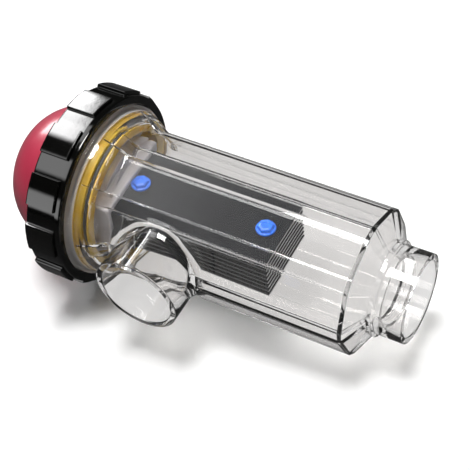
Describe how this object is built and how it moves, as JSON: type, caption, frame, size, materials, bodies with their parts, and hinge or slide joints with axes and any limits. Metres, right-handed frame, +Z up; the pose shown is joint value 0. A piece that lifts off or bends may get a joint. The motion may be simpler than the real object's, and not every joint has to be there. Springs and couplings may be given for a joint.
{
  "type": "salt chlorine generator",
  "caption": "Clear cell housing with an end port and a side port, a removable plate electrode cartridge under a domed cap, and a large threaded lock nut.",
  "frame": {"origin": "centre of the end port's mouth, where the outlet pipe's coupling ends", "axes": "+X along the cell's axis and out of the end port, -Y out of the side port, +Z up, square to the flat electrode plates"},
  "size_m": [0.3144, 0.1503, 0.147],
  "materials": {
    "clear_shell": "polished clear moulded plastic",
    "black_nut": "high gloss black",
    "white_plastic": "satin white",
    "red_cap": "satin raspberry red",
    "black_gland": "satin black",
    "amber_head": "translucent amber moulding",
    "seal_rubber": "matt black",
    "coated_titanium": "dark mixed-oxide coating",
    "blue_plastic": "glossy blue",
    "steel": "bright",
    "tinned_brass": "tinned"
  },
  "bodies": {
    "housing": {"housing": "clear_shell"},
    "cartridge": {"dome_cap": "red_cap", "gland_body": "black_gland", "gland_cap": "black_gland", "electrode_head": "amber_head", "o_ring": "seal_rubber", "electrode_plate_1": "coated_titanium", "electrode_plate_2": "coated_titanium", "electrode_plate_3": "coated_titanium", "electrode_plate_4": "coated_titanium", "electrode_plate_5": "coated_titanium", "electrode_plate_6": "coated_titanium", "electrode_plate_7": "coated_titanium", "electrode_plate_8": "coated_titanium", "plate_bolt_1": "blue_plastic", "plate_bolt_2": "blue_plastic", "plate_bolt_nut_1": "blue_plastic", "plate_bolt_nut_2": "blue_plastic", "plate_spacer_1_1": "white_plastic", "plate_spacer_1_2": "white_plastic", "plate_spacer_1_3": "white_plastic", "plate_spacer_1_4": "white_plastic", "plate_spacer_1_5": "white_plastic", "plate_spacer_1_6": "white_plastic", "plate_spacer_1_7": "white_plastic", "plate_spacer_2_1": "white_plastic", "plate_spacer_2_2": "white_plastic", "plate_spacer_2_3": "white_plastic", "plate_spacer_2_4": "white_plastic", "plate_spacer_2_5": "white_plastic", "plate_spacer_2_6": "white_plastic", "plate_spacer_2_7": "white_plastic", "anode_stud": "coated_titanium", "anode_bus_bar": "coated_titanium", "anode_washer": "steel", "anode_cable_eye": "tinned_brass", "anode_terminal_nut": "steel", "cathode_stud": "coated_titanium", "cathode_bus_bar": "coated_titanium", "cathode_washer": "steel", "cathode_cable_eye": "tinned_brass", "cathode_terminal_nut": "steel"},
    "slip_ring": {"slip_ring": "white_plastic"},
    "lock_nut": {"lock_nut": "black_nut"}
  },
  "joints": [
    {"name": "cartridge_slide", "type": "slide", "parent": "housing", "child": "cartridge", "axis": [-1, 0, 0], "range_m": [0, 0.16]},
    {"name": "nut_travel", "type": "slide", "parent": "cartridge", "child": "slip_ring", "axis": [-1, 0, 0], "range_m": [0, 0.0101]},
    {"name": "nut_turn", "type": "hinge", "parent": "slip_ring", "child": "lock_nut", "pos_m": [-0.2516, 0, 0], "axis": [-1, 0, 0], "range_deg": [0, 900]}
  ],
  "couplings": [
    {"joint": "nut_travel", "follows": "nut_turn", "m_per_rad": 0.00063662}
  ]
}
